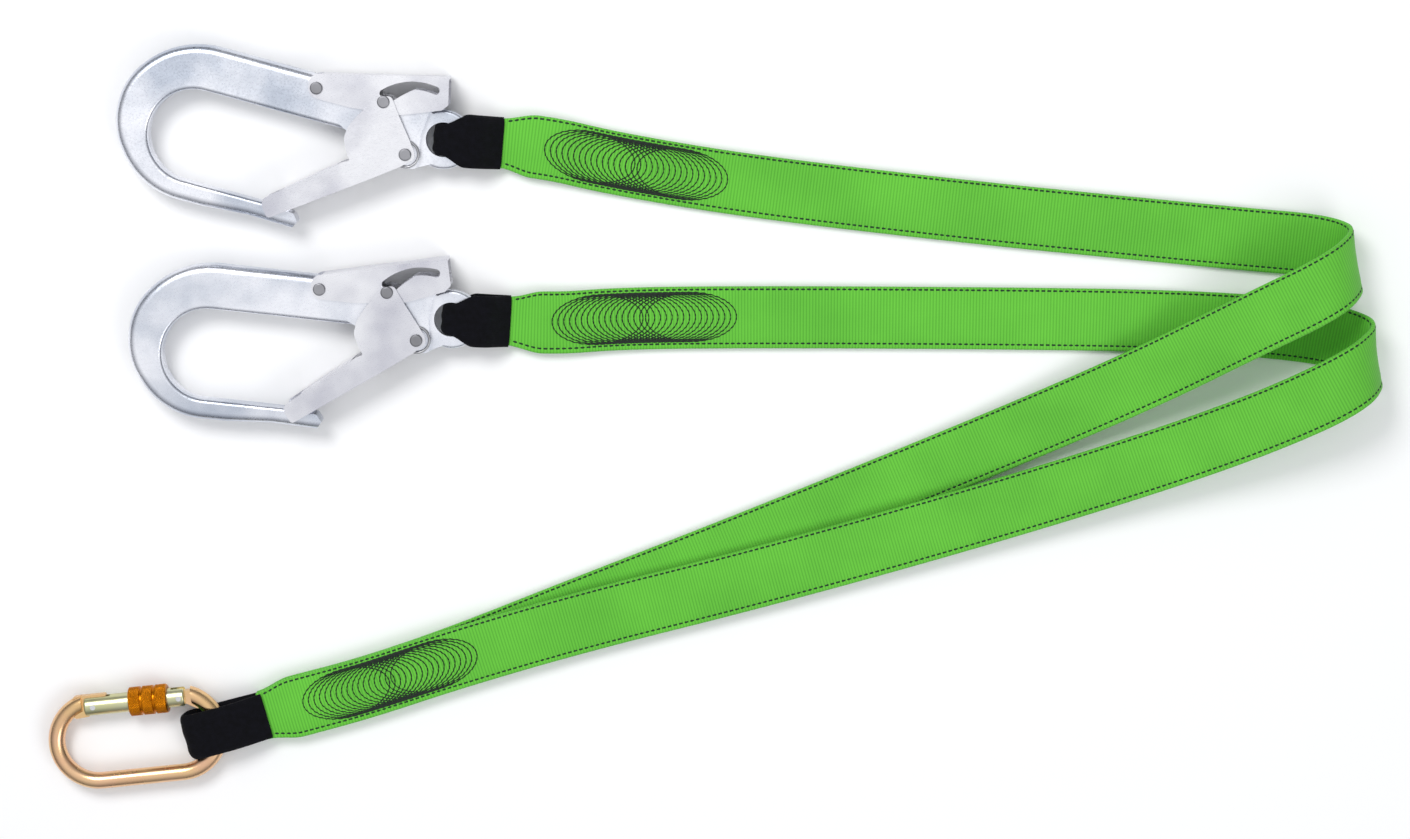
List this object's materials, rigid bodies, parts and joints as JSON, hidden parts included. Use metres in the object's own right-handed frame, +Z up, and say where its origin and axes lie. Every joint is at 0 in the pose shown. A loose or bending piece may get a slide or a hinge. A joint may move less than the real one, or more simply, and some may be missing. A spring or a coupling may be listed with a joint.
{
  "type": "shock absorbing lanyard",
  "caption": "Forked fall-arrest lanyard: flat webbing legs with an internal energy absorber, large double-action scaffold hooks and an oval screw-gate carabiner.",
  "frame": {"origin": "on the table, below the middle of the box around the hooks, carabiner and wear sleeves", "axes": "+X along the legs away from the hooks, +Y across the table from the carabiner towards the hooks, +Z up"},
  "size_m": [0.8247, 0.465, 0.0496],
  "materials": {
    "casing": "ribbed bright green webbing",
    "absorber": "woven load web",
    "loop_web": "woven load web",
    "sleeve": "black woven tube",
    "forging": "satin forged",
    "pressing": "satin pressed sheet",
    "rivet": "plain",
    "spring": "drawn wire",
    "zinc_body": "yellow zinc plated",
    "zinc_gate": "pale zinc plated",
    "pin": "plain",
    "orange": "orange anodised, knurled"
  },
  "bodies": {
    "webbing": {"carabiner_end_loop_a": "loop_web", "carabiner_end_loop_b": "loop_web", "carabiner_wear_sleeve": "sleeve", "hook_a_end_loop": "loop_web", "hook_a_wear_sleeve": "sleeve", "hook_b_end_loop": "loop_web", "hook_b_wear_sleeve": "sleeve", "leg_a_absorber_web": "absorber", "leg_a_casing": "casing", "leg_b_absorber_web": "absorber", "leg_b_casing": "casing"},
    "hook_a": {"hook_a_body": "forging", "hook_a_gate_rivet": "rivet", "hook_a_lever_rivet": "rivet", "hook_a_gate_spring": "spring", "hook_a_lever_spring": "spring"},
    "hook_a_gate": {"hook_a_gate": "pressing", "hook_a_lock_pin": "rivet"},
    "hook_a_lever": {"hook_a_lock_lever": "pressing"},
    "hook_b": {"hook_b_body": "forging", "hook_b_gate_rivet": "rivet", "hook_b_lever_rivet": "rivet", "hook_b_gate_spring": "spring", "hook_b_lever_spring": "spring"},
    "hook_b_gate": {"hook_b_gate": "pressing", "hook_b_lock_pin": "rivet"},
    "hook_b_lever": {"hook_b_lock_lever": "pressing"},
    "carabiner": {"carabiner_body": "zinc_body", "carabiner_hinge_pin": "pin"},
    "carabiner_gate": {"carabiner_gate": "zinc_gate", "carabiner_latch_pin": "pin", "carabiner_gate_spring": "spring", "carabiner_spring_plunger": "zinc_gate"},
    "screw_sleeve": {"carabiner_screw_sleeve": "orange"}
  },
  "joints": [
    {"name": "hook_a_swing", "type": "hinge", "parent": "webbing", "child": "hook_a", "pos_m": [0.10874, 0.17464, 0.014], "axis": [0, 0, 1], "range_deg": [-20, 10]},
    {"name": "hook_a_gate_turn", "type": "hinge", "parent": "hook_a", "child": "hook_a_gate", "pos_m": [0.0862, 0.1662, 0.014], "axis": [0, 0, -1], "range_deg": [0, 30], "stiffness_Nm_per_rad": 0.4, "deforming": ["hook_a_gate_spring"]},
    {"name": "hook_a_lever_press", "type": "hinge", "parent": "hook_a", "child": "hook_a_lever", "pos_m": [0.03309, 0.20619, 0.014], "axis": [0, 0, -1], "range_deg": [0, 7.5], "stiffness_Nm_per_rad": 0.4, "deforming": ["hook_a_lever_spring"]},
    {"name": "hook_b_swing", "type": "hinge", "parent": "webbing", "child": "hook_b", "pos_m": [0.11233, 0.06477, 0.014], "axis": [0, 0, 1], "range_deg": [-10, 20]},
    {"name": "hook_b_gate_turn", "type": "hinge", "parent": "hook_b", "child": "hook_b_gate", "pos_m": [0.0914, 0.0529, 0.014], "axis": [0, 0, -1], "range_deg": [0, 30], "stiffness_Nm_per_rad": 0.4, "deforming": ["hook_b_gate_spring"]},
    {"name": "hook_b_lever_press", "type": "hinge", "parent": "hook_b", "child": "hook_b_lever", "pos_m": [0.03266, 0.08403, 0.014], "axis": [0, 0, -1], "range_deg": [0, 7.5], "stiffness_Nm_per_rad": 0.4, "deforming": ["hook_b_lever_spring"]},
    {"name": "carabiner_swing", "type": "hinge", "parent": "webbing", "child": "carabiner", "pos_m": [-0.06214, -0.19664, 0.0101], "axis": [0, 0, 1], "range_deg": [-12, 12]},
    {"name": "carabiner_gate_turn", "type": "hinge", "parent": "carabiner", "child": "carabiner_gate", "pos_m": [-0.06082, -0.17378, 0.0101], "axis": [0, 0, 1], "range_deg": [0, 25], "stiffness_Nm_per_rad": 0.2},
    {"name": "screw_sleeve_travel", "type": "slide", "parent": "carabiner_gate", "child": "screw_sleeve", "axis": [0.9945, 0.1045, 0], "range_m": [-0.016, 0]}
  ],
  "couplings": [
    {"joint": "hook_a_lever_press", "follows": "hook_a_gate_turn", "ratio": 0.25},
    {"joint": "hook_b_lever_press", "follows": "hook_b_gate_turn", "ratio": 0.25}
  ]
}
